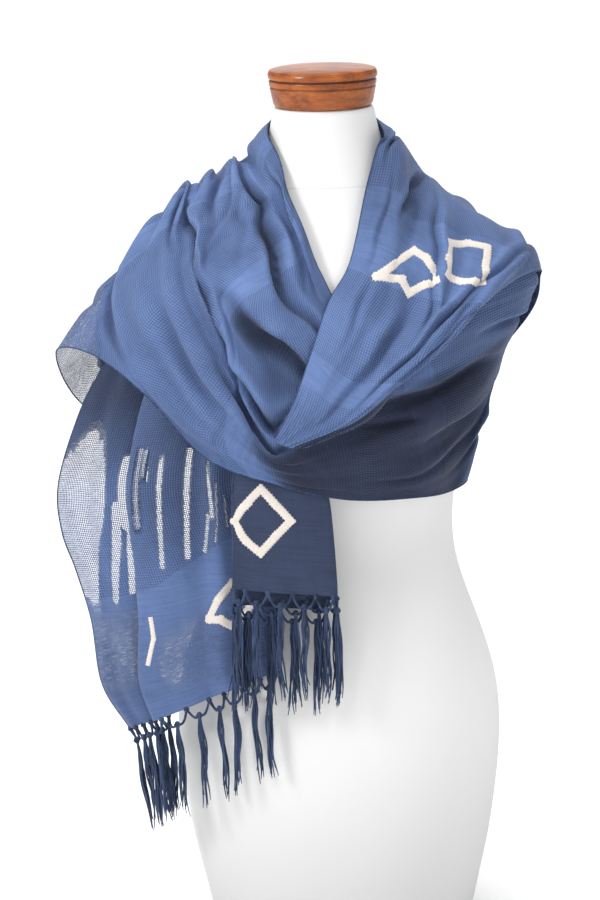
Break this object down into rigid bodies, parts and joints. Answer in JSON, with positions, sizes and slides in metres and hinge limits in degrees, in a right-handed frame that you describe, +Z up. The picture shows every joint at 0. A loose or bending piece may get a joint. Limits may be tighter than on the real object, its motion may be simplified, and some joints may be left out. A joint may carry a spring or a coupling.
{
  "type": "rebozo shawl on dress form",
  "caption": "Long woven rebozo shawl with fringed ends, wound round the shoulders of a limbless dress form with a turned neck cap.",
  "frame": {"origin": "middle of the dress form's flat underside", "axes": "+Z up along the form; the front of the form faces -Y; +X is the viewer's right, seen from the front"},
  "size_m": [0.5034, 0.3054, 0.9054],
  "materials": {
    "rebozo_cloth": "fine ribbed weave, soft and matte, with sheer gauze bands",
    "fringe_yarn": "twisted cotton yarn, knotted",
    "form_skin": "smooth white satin",
    "cap_wood": "turned, reddish brown, polished"
  },
  "bodies": {
    "root": {"form_body": "form_skin", "fringe_narrow": "fringe_yarn", "fringe_wide": "fringe_yarn", "neck_cap": "cap_wood", "shawl_back_inner": "rebozo_cloth", "shawl_back_outer": "rebozo_cloth", "shawl_end_narrow": "rebozo_cloth", "shawl_end_wide": "rebozo_cloth", "shawl_front_wrap": "rebozo_cloth", "shawl_right_roll": "rebozo_cloth"}
  },
  "joints": []
}
